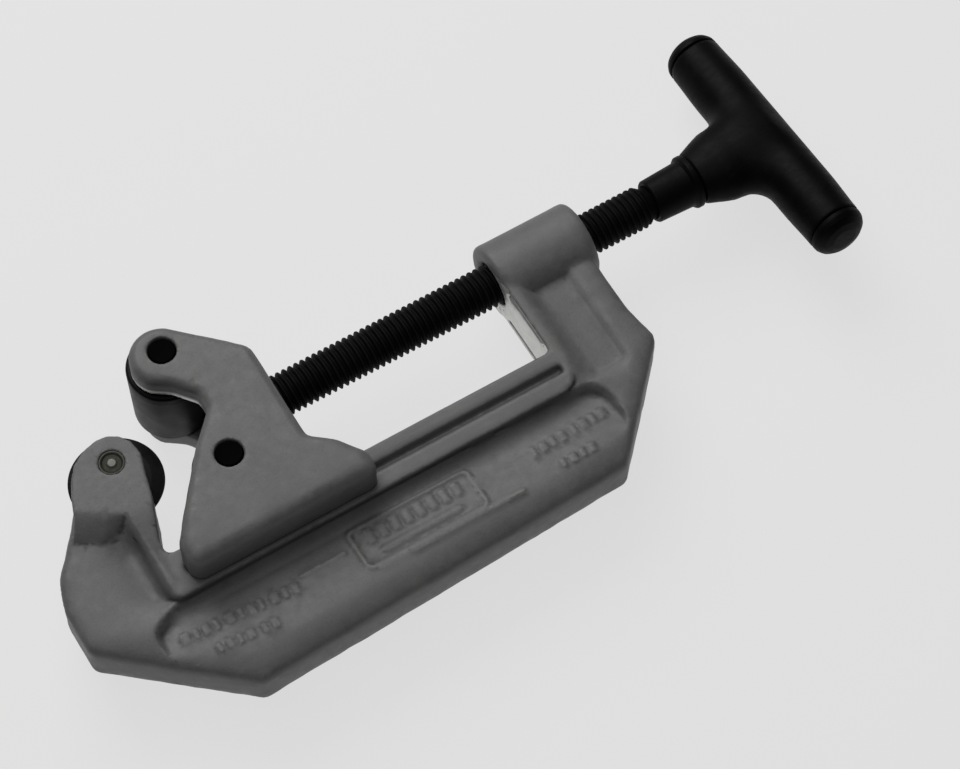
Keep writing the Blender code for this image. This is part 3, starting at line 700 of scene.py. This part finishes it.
class Look:
    """Principled material with short helpers for its nodes."""

    def __init__(self, name, roughness, metallic, **fixed):
        self.mat = bpy.data.materials.new(name)
        self.mat.use_nodes = True
        self.tree = self.mat.node_tree
        self.bsdf = self.tree.nodes["Principled BSDF"]
        self.set(self.bsdf, "Roughness", roughness)
        self.set(self.bsdf, "Metallic", metallic)
        for socket, value in fixed.items():
            self.set(self.bsdf, socket.replace("_", " "), value)
        self.coords = self.tree.nodes.new("ShaderNodeTexCoord").outputs["Object"]
        self.height = None

    def set(self, node, socket, value):
        """Give a socket a number, a colour or a link."""
        if isinstance(value, bpy.types.NodeSocket):
            self.tree.links.new(value, node.inputs[socket])
        elif isinstance(value, tuple) and len(value) == 3 and node.inputs[socket].type == "RGBA":
            node.inputs[socket].default_value = (*value, 1.0)
        else:
            node.inputs[socket].default_value = value

    def noise(self, size, detail=2.0, rough=0.5, stretch=(1.0, 1.0, 1.0)):
        """Noise whose lumps are about size mm across."""
        mapping = self.tree.nodes.new("ShaderNodeMapping")
        self.set(mapping, "Vector", self.coords)
        self.set(mapping, "Scale", stretch)
        node = self.tree.nodes.new("ShaderNodeTexNoise")
        self.set(node, "Vector", mapping.outputs[0])
        self.set(node, "Scale", 1.0 / (size * MM))
        self.set(node, "Detail", detail)
        self.set(node, "Roughness", rough)
        return node.outputs["Fac"]

    def attribute(self, name):
        """Mask stored on the mesh."""
        node = self.tree.nodes.new("ShaderNodeAttribute")
        node.attribute_name = name
        return node.outputs["Fac"]

    def span(self, value, a, b, lo=0.0, hi=1.0):
        """Map a..b to lo..hi, clamped."""
        node = self.tree.nodes.new("ShaderNodeMapRange")
        self.set(node, "Value", value)
        for socket, number in (("From Min", a), ("From Max", b), ("To Min", lo), ("To Max", hi)):
            self.set(node, socket, number)
        return node.outputs["Result"]

    def maths(self, kind, a, b=0.0):
        """One arithmetic step."""
        node = self.tree.nodes.new("ShaderNodeMath")
        node.operation = kind
        self.set(node, 0, a)
        self.set(node, 1, b)
        return node.outputs[0]

    def mix(self, factor, a, b):
        """Blend of two colours."""
        node = self.tree.nodes.new("ShaderNodeMix")
        node.data_type = "RGBA"
        self.set(node, 0, factor)
        self.set(node, 6, a)
        self.set(node, 7, b)
        return node.outputs[2]

    def colour(self, value):
        """Base colour."""
        self.set(self.bsdf, "Base Color", value)

    def bump(self, height, depth_mm, strength=1.0):
        """Relief of the given depth, on top of any relief already there."""
        node = self.tree.nodes.new("ShaderNodeBump")
        self.set(node, "Height", height)
        self.set(node, "Strength", strength)
        self.set(node, "Distance", depth_mm * MM)
        if self.height is not None:
            self.set(node, "Normal", self.height)
        self.height = node.outputs[0]
        self.set(self.bsdf, "Normal", self.height)


def paint_look():
    """Grey enamel over a sand casting, rubbed thin on edges, with milled faces left bare and a painted
    highlight where the bare-and-highlight mask is set.
    """
    look = Look("grey_enamel", 0.5, 0.0, Specular_IOR_Level=0.42)
    grain = look.noise(0.55, 3.0, 0.6)
    lumps = look.noise(2.6, 3.0, 0.55)
    cloud = look.noise(16.0, 3.0, 0.6)
    wear = look.attribute("wear")
    cavity = look.attribute("cavity")
    machined = look.attribute("machined")
    tone = look.mix(look.span(cloud, 0.32, 0.68), (0.088, 0.090, 0.088), (0.112, 0.113, 0.110))
    tone = look.mix(look.span(lumps, 0.35, 0.75, 0.0, 0.55), tone, (0.130, 0.132, 0.128))
    tone = look.mix(look.span(grain, 0.50, 0.80, 0.0, 0.6), tone, (0.062, 0.063, 0.062))
    # darker, patchy colour in concave hollows
    hollow_dark = look.maths("MULTIPLY", cavity, look.span(lumps, 0.3, 0.7, 0.35, 0.85))
    tone = look.mix(hollow_dark, tone, (0.022, 0.022, 0.021))
    rub = look.maths("MULTIPLY", look.span(wear, 0.35, 1.0), look.span(lumps, 0.42, 0.62))
    rub = look.maths("MULTIPLY", rub, 0.30)
    tone = look.mix(rub, tone, (0.27, 0.265, 0.255))
    steel = look.mix(look.span(lumps, 0.3, 0.7), (0.125, 0.125, 0.122), (0.165, 0.163, 0.158))
    bare_and_highlight = look.maths("MULTIPLY", machined, 0.7)
    tone = look.mix(bare_and_highlight, tone, steel)
    # painted highlight: pale, glossy colour on the slide's lip and the arm's inner face, in place of the
    # light they catch
    painted_highlight = look.maths("MULTIPLY", look.attribute("bare_and_highlight"), look.span(lumps, 0.3, 0.7, 0.75, 1.0))
    look.colour(look.mix(painted_highlight, tone, (0.74, 0.735, 0.71)))
    metal = look.maths("ADD", look.maths("MULTIPLY", machined, 0.55), look.maths("MULTIPLY", rub, 0.5))
    look.set(look.bsdf, "Metallic", look.maths("MAXIMUM", metal, look.maths("MULTIPLY", painted_highlight, 0.85)))
    rough = look.span(lumps, 0.3, 0.7, 0.44, 0.60)
    look.set(look.bsdf, "Roughness", look.maths("SUBTRACT", rough, look.maths("MULTIPLY", painted_highlight, 0.14)))
    look.bump(cloud, 0.25, 0.35)
    look.bump(lumps, 0.12, 0.5)
    look.bump(grain, 0.05, 0.55)
    return look.mat


def steel_look(name, dark, light, roughness, metallic, gloss=0.2, ring=True, wear=False, ends=0.0):
    """Turned steel: fine rings from the lathe, smudges and small marks.

    With ends, the piece turns black beyond that distance (mm) from a plane just below its middle,
    which stands in for the shadow at the ends of the rollers.
    """
    look = Look(name, roughness, metallic, Specular_IOR_Level=gloss)
    stretch = (0.04, 0.04, 1.0) if ring else (1.0, 0.05, 0.05)
    lines = look.noise(0.30, 2.0, 0.6, stretch)
    smudge = look.noise(5.0, 4.0, 0.6)
    speck = look.noise(0.8, 3.0, 0.7)
    tone = look.mix(look.span(smudge, 0.3, 0.7), dark, light)
    tone = look.mix(look.span(lines, 0.45, 0.75, 0.0, 0.5), tone, tuple(c * 1.35 for c in light))
    tone = look.mix(look.span(speck, 0.58, 0.72, 0.0, 0.45), tone, tuple(c * 0.5 for c in dark))
    if wear:
        rub = look.maths("MULTIPLY", look.attribute("wear"), look.span(smudge, 0.35, 0.65, 0.15, 0.6))
        tone = look.mix(rub, tone, tuple(min(1.0, c * 4.0) for c in light))
    if ends:
        height = look.tree.nodes.new("ShaderNodeSeparateXYZ")
        look.set(height, 0, look.coords)
        far = look.maths("ABSOLUTE", look.maths("ADD", height.outputs["Z"], 0.9 * MM), 0.0)
        tone = look.mix(look.span(far, (ends - 0.5) * MM, ends * MM), tone, (0.003, 0.003, 0.003))
    look.colour(tone)
    look.set(look.bsdf, "Roughness", look.span(smudge, 0.3, 0.7, roughness - 0.06, roughness + 0.08))
    look.bump(lines, 0.02, 0.35)
    look.bump(speck, 0.03, 0.25)
    return look.mat


def axle_look():
    """Staked steel pin: bright centre, a dull ring round it and paint on the rim of the head."""
    look = Look("axle_steel", 0.5, 0.4, Specular_IOR_Level=0.2)
    smudge = look.noise(1.2, 3.0, 0.6)
    flat = look.tree.nodes.new("ShaderNodeVectorMath")
    flat.operation = "MULTIPLY"
    look.set(flat, 0, look.coords)
    look.set(flat, 1, (1.0, 1.0, 0.0))
    size = look.tree.nodes.new("ShaderNodeVectorMath")
    size.operation = "LENGTH"
    look.set(size, 0, flat.outputs[0])
    radius = size.outputs["Value"]
    bright = look.mix(smudge, (0.115, 0.113, 0.100), (0.165, 0.162, 0.145))
    ring = look.mix(smudge, (0.016, 0.016, 0.012), (0.030, 0.030, 0.022))
    rim = look.mix(smudge, (0.050, 0.050, 0.046), (0.070, 0.070, 0.066))
    tone = look.mix(look.span(radius, 1.0 * MM, 1.7 * MM), bright, ring)
    look.colour(look.mix(look.span(radius, 3.1 * MM, 3.6 * MM), tone, rim))
    look.set(look.bsdf, "Roughness", look.span(smudge, 0.3, 0.7, 0.42, 0.6))
    look.bump(smudge, 0.04, 0.4)
    return look.mat


def plastic_look():
    """Black moulded plastic with a fine satin texture and a few paler scuffs."""
    look = Look("black_moulding", 0.55, 0.0, Specular_IOR_Level=0.055)
    fine = look.noise(0.35, 2.0, 0.5)
    flow = look.noise(7.0, 3.0, 0.5)
    scuff = look.noise(1.6, 5.0, 0.75, (0.35, 1.0, 0.6))
    tone = look.mix(look.span(flow, 0.3, 0.7), (0.0014, 0.0013, 0.0015), (0.0030, 0.0028, 0.0032))
    marks = look.span(scuff, 0.62, 0.74, 0.0, 0.35)
    look.colour(look.mix(marks, tone, (0.009, 0.009, 0.009)))
    look.set(look.bsdf, "Roughness", look.span(scuff, 0.35, 0.7, 0.40, 0.56))
    look.bump(flow, 0.12, 0.4)
    look.bump(fine, 0.025, 0.35)
    return look.mat


def floor_look():
    """Pale table that glows softly, as a light table does."""
    look = Look("pale_floor", 0.8, 0.0, Specular_IOR_Level=0.0)
    cloud = look.noise(180.0, 2.0, 0.4)
    look.colour(look.mix(cloud, (0.100, 0.100, 0.100), (0.104, 0.104, 0.104)))
    look.set(look.bsdf, "Emission Color", (1.0, 1.0, 1.0))
    look.set(look.bsdf, "Emission Strength", 0.675)
    return look.mat


# ---------------------------------------------------------------- pieces

def finish_piece(obj, mat, slot, body, *nodes):
    """Give a piece its look, its body and the CAD nodes that it stands for."""
    obj.data.materials.clear()
    obj.data.materials.append(mat)
    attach(obj, body)
    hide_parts(*nodes)
    return obj


def build_castings(paint):
    """The two castings."""
    finish_piece(make_frame(), paint, "casting_paint", "frame_body", "frame")
    finish_piece(make_slide(), paint, "casting_paint", "carriage_body", "slide_housing")


def build_wheel(blade, bright, dark):
    """Cutting wheel with its pin, washers and clip."""
    wheel = lathe("wheel_disc", [
        (WHEEL_BORE_R, WHEEL_HUB_HALF, 0.2), (WHEEL_HUB_R, WHEEL_HUB_HALF, 0.3),
        (WHEEL_HUB_R + 0.5, 1.75, 0.4), (WHEEL_R - 3.6, 1.3, 0.3), (WHEEL_R, 0.04, 0.02),
        (WHEEL_R, -0.04, 0.02), (WHEEL_R - 3.6, -1.3, 0.3), (WHEEL_HUB_R + 0.5, -1.75, 0.4),
        (WHEEL_HUB_R, -WHEEL_HUB_HALF, 0.3), (WHEEL_BORE_R, -WHEEL_HUB_HALF, 0.2),
    ], "Z", (*WHEEL_AT, 0.0), closed=True, steps=128)
    finish_piece(wheel, blade, "wheel_steel", "wheel_body", "cutter_wheel")
    top = FORK_HALF - 0.3
    tail = -FORK_HALF + 0.5
    pin = lathe("wheel_axle", [
        (0.0, top + 0.05, 0.0), (1.15, top, 0.4), (1.6, top - 0.4, 0.3), (2.6, top - 0.4, 0.4),
        (3.1, top - 0.05, 0.3), (WHEEL_PIN_HEAD_R, top - 0.05, 0.05), (WHEEL_PIN_HEAD_R, top - 0.4, 0.0),
        (WHEEL_PIN_HEAD_R, FORK_HALF - 1.3, 0.05), (WHEEL_PIN_R, FORK_HALF - 1.3, 0.05),
        (WHEEL_PIN_R, tail + 1.5, 0.05), (WHEEL_PIN_R - 0.7, tail + 1.5, 0.05),
        (WHEEL_PIN_R - 0.7, tail + 0.6, 0.05), (WHEEL_PIN_R, tail + 0.6, 0.05),
        (WHEEL_PIN_R - 0.3, tail, 0.1), (0.0, tail, 0.0),
    ], "Z", (*WHEEL_AT, 0.0), steps=72)
    finish_piece(pin, axle_look(), "bright_steel", "frame_body", "wheel_pin")
    for side, lo in (("front", WHEEL_HUB_HALF + 0.25), ("back", -WHEEL_HUB_HALF - 0.8)):
        washer = lathe("washer_" + side, [
            (WHEEL_BORE_R, lo + 0.55, 0.1), (6.0, lo + 0.55, 0.15), (6.0, lo, 0.15),
            (WHEEL_BORE_R, lo, 0.1),
        ], "Z", (*WHEEL_AT, 0.0), closed=True, steps=72)
        finish_piece(washer, bright, "bright_steel", "frame_body", "wheel_washer_" + side)
    z = tail + 0.7
    clip = lathe("axle_clip", [
        (WHEEL_PIN_R - 0.4, z + 0.55, 0.1), (4.7, z + 0.55, 0.2), (4.7, z, 0.2),
        (WHEEL_PIN_R - 0.4, z, 0.1),
    ], "Z", (*WHEEL_AT, 0.0), closed=True, steps=72, sweep=0.87)
    clip.rotation_euler = (0.0, 0.0, math.radians(-66.6))
    finish_piece(clip, dark, "black_steel", "frame_body", "wheel_pin_clip")


def build_rollers(steel, dark):
    """The two rollers and the dowels they turn on."""
    bore = ROLLER_PIN_R + GAP
    for side, at in ROLLERS_AT.items():
        roller = lathe("roller_barrel_" + side, [
            (bore, ROLLER_HALF, 0.3), (bore + 0.6, ROLLER_HALF, 0.2), (bore + 1.2, ROLLER_HALF - 0.25, 0.2),
            (ROLLER_R - 2.6, ROLLER_HALF - 0.25, 0.2), (ROLLER_R - 2.0, ROLLER_HALF, 0.2),
            (ROLLER_R, ROLLER_HALF, 1.0), (ROLLER_R, -ROLLER_HALF, 1.0), (ROLLER_R - 2.0, -ROLLER_HALF, 0.2),
            (ROLLER_R - 2.6, -ROLLER_HALF + 0.25, 0.2), (bore + 1.2, -ROLLER_HALF + 0.25, 0.2),
            (bore + 0.6, -ROLLER_HALF, 0.2), (bore, -ROLLER_HALF, 0.3),
        ], "Z", (*at, 0.0), closed=True, steps=128)
        finish_piece(roller, steel, "roller_steel", f"roller_{side}_body", "roller_" + side)
        end = SLIDE_HALF - 0.5
        dowel = lathe("roller_dowel_" + side, [
            (0.0, end - 0.12, 0.0), (ROLLER_PIN_R - 1.3, end - 0.1, 0.5), (ROLLER_PIN_R - 0.7, end, 0.3),
            (ROLLER_PIN_R - 0.4, end, 0.2), (ROLLER_PIN_R, end - 0.5, 0.2), (ROLLER_PIN_R, -end + 0.5, 0.2),
            (ROLLER_PIN_R - 0.4, -end, 0.2), (ROLLER_PIN_R - 0.7, -end, 0.3),
            (ROLLER_PIN_R - 1.3, -end + 0.1, 0.5), (0.0, -end + 0.12, 0.0),
        ], "Z", (*at, 0.0), steps=72)
        finish_piece(dowel, dark, "black_steel", "carriage_body", "roller_pin_" + side)


def build_screw(thread, plastic, bright, dark):
    """Feed screw with everything that turns with it, and what holds its tip in the carriage."""
    finish_piece(make_screw(), thread, "black_steel", "screw_body", "feed_screw")
    collar = lathe("collar_sleeve", [
        (5.3, 101.0, 0.1), (7.8, 101.0, 0.4), (8.2, 100.5, 0.4), (8.2, 99.2, 0.4), (7.7, 98.6, 0.4),
        (7.1, 98.3, 0.5), (6.6, 86.9, 0.5), (6.2, 86.4, 0.3), (5.3, 86.4, 0.1),
    ], "X", (0.0, 0.0, 0.0), closed=True, steps=96)
    finish_piece(collar, plastic, "black_moulding", "screw_body", "neck_collar")
    finish_piece(make_grip(), plastic, "black_moulding", "screw_body", "handle_grip")
    half = GRIP_HALF - CAP_LEN - 0.4
    core = lathe("core_bar", [
        (0.0, half, 0.0), (CORE_R, half, 0.4), (CORE_R, -half, 0.4), (0.0, -half, 0.0),
    ], "GRIP", (GRIP_X, 0.0, 0.0), steps=48)
    finish_piece(core, bright, "bright_steel", "screw_body", "handle_core_bar")
    cross = lathe("cross_pin", [
        (0.0, 6.6, 0.0), (CROSS_PIN_R, 6.6, 0.3), (CROSS_PIN_R, -8.2, 0.3), (0.0, -8.2, 0.0),
    ], "Z", (CROSS_PIN_X, 0.0, 0.0), steps=40)
    finish_piece(cross, dark, "black_steel", "screw_body", "handle_cross_pin")
    inner = GRIP_HALF - CAP_LEN + 0.3
    r = GRIP_R - 0.5
    for name, node, flip in (("cap_far", "handle_cap_far", 1.0), ("cap_near", "handle_cap_near", -1.0)):
        dome = [
            (0.0, GRIP_HALF, 0.0), (r * 0.45, GRIP_HALF - 0.15, 3.0), (r * 0.72, GRIP_HALF - 0.8, 2.0),
            (r * 0.9, GRIP_HALF - 2.0, 1.5), (r * 0.985, GRIP_HALF - 3.4, 1.0), (r, inner + 0.3, 0.15),
            (r - 0.5, inner, 0.15), (r - 0.9, inner - 0.25, 0.05), (0.0, inner - 0.25, 0.0),
        ]
        cap = lathe(name, [(radius, flip * h, c) for radius, h, c in dome], "GRIP", (GRIP_X, 0.0, 0.0))
        finish_piece(cap, plastic, "black_moulding", "screw_body", node)
    ball = lathe("socket_ball", [(0.0, 1.25, 0.0)] + [
        (x, y, 0.0) for x, y in arc(0.0, 0.0, 1.25, 84.0, -84.0, 14)] + [(0.0, -1.25, 0.0)],
        "Z", (-48.0, 0.0, 0.0), steps=32)
    finish_piece(ball, bright, "bright_steel", "carriage_body", "thrust_ball")
    for tag, y in (("a", KEEPER_Y), ("b", -KEEPER_Y)):
        keeper = lathe("keeper_" + tag, [
            (0.0, KEEPER_TOP, 0.0), (KEEPER_R, KEEPER_TOP, 0.3), (KEEPER_R, -SLIDE_HALF + 0.8, 0.3),
            (KEEPER_R * 0.4, -SLIDE_HALF + 0.8, 0.1), (KEEPER_R * 0.35, -SLIDE_HALF + 2.0, 0.0),
            (0.0, -SLIDE_HALF + 2.0, 0.0),
        ], "Z", (sum(GROOVE_X) / 2.0, y, 0.0), steps=40)
        finish_piece(keeper, dark, "black_steel", "carriage_body", "screw_keeper_pin_" + tag)


# ---------------------------------------------------------------- stage

def build_floor():
    """Plain pale floor under the tool."""
    mesh = bpy.data.meshes.new("floor")
    size = 2.5
    z = CAD_BOX[0][2] - 0.0004
    mesh.from_pydata([(-size, -size, z), (size, -size, z), (size, size, z), (-size, size, z)], [],
                     [(0, 1, 2, 3)])
    mesh.materials.append(floor_look())
    floor = bpy.data.objects.new("floor", mesh)
    bpy.context.scene.collection.objects.link(floor)


def area_light(name, place, aim, size, power):
    """Soft square lamp."""
    data = bpy.data.lights.new(name, "AREA")
    data.size = size
    data.energy = power
    lamp = bpy.data.objects.new(name, data)
    bpy.context.scene.collection.objects.link(lamp)
    lamp.location = place
    lamp.rotation_euler = (Vector(aim) - Vector(place)).to_track_quat("-Z", "Y").to_euler()


def build_light():
    """Even, soft studio light, strongest from above and behind the tool."""
    world = bpy.data.worlds.new("studio")
    bpy.context.scene.world = world
    world.use_nodes = True
    back = world.node_tree.nodes["Background"]
    back.inputs["Color"].default_value = (1.0, 1.0, 1.0, 1.0)
    back.inputs["Strength"].default_value = 0.07
    area_light("key", (0.04, 0.62, 0.68), (0.0, 0.0, 0.02), 0.7, 6.6)
    area_light("top", (-0.15, 0.05, 0.9), (0.0, 0.0, 0.02), 0.8, 2.2)
    bpy.context.scene.view_settings.view_transform = "Standard"


def build_camera():
    """Long-lens camera above the front, at the height and turn from which the tool is shown."""
    right = Vector((0.85807586, -0.51352128, -0.00130882))
    up = Vector((0.45732193, 0.76300445, 0.45681601))
    back = Vector((-0.23358611, -0.39258134, 0.88956024))
    place = (Vector((-183.05, -356.597, 749.782)) + DATUM) * MM
    data = bpy.data.cameras.new("camera")
    data.sensor_width = 36.0
    data.lens = 112.5
    camera = bpy.data.objects.new("camera", data)
    bpy.context.scene.collection.objects.link(camera)
    turn = Matrix((right, up, back)).transposed().to_4x4()
    turn.translation = place
    camera.matrix_world = turn
    bpy.context.scene.camera = camera


def main():
    """Build every piece, the stage, the lights and the camera."""
    build_camera()
    paint = paint_look()
    roller = steel_look("roller_steel", (0.017, 0.017, 0.016), (0.030, 0.030, 0.029), 0.50, 0.5,
                        ends=ROLLER_HALF - 2.0)
    dark = steel_look("black_steel", (0.0008, 0.0008, 0.0008), (0.0018, 0.0018, 0.0018), 0.80, 0.0, 0.02)
    thread = steel_look("black_thread", (0.0014, 0.0014, 0.0014), (0.0030, 0.0030, 0.0030), 0.60, 0.0,
                        0.07, ring=False, wear=True)
    blade = steel_look("wheel_steel", (0.005, 0.005, 0.0055), (0.011, 0.011, 0.012), 0.50, 0.3, 0.12)
    bright = steel_look("bright_steel", (0.10, 0.10, 0.092), (0.16, 0.16, 0.148), 0.42, 0.7)
    plastic = plastic_look()
    build_castings(paint)
    build_wheel(blade, bright, dark)
    build_rollers(roller, dark)
    build_screw(thread, plastic, bright, dark)
    build_floor()
    build_light()


main()
